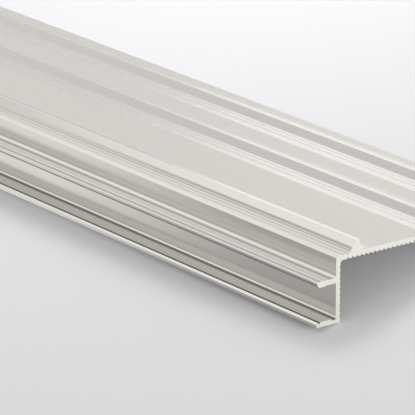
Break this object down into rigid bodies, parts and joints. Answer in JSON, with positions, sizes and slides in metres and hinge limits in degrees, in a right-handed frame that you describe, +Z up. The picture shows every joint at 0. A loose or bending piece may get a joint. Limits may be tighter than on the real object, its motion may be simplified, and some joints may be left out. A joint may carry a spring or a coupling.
{
  "type": "stair nosing base profile",
  "caption": "Extruded aluminium stair nosing base: an L-shaped angle with a fluted tread plate, a floor stop rib and a flanged front channel for a clip-in nosing trim.",
  "frame": {"origin": "middle of the footprint, at floor level", "axes": "+Z up, +Y along the extrusion with the pictured sawn end at -Y, +X from the nose towards the back of the tread. The profile lies as it comes to rest, on the heel of its web and the back edge of its plate, so the tread plate slopes down towards +X by 14.18 degrees."},
  "size_m": [0.0776, 1, 0.0197],
  "materials": {
    "nosing_profile": "satin natural anodised, with fine extrusion lines along the length and raw sawn ends"
  },
  "bodies": {
    "root": {"nosing_profile": "nosing_profile"}
  },
  "joints": []
}
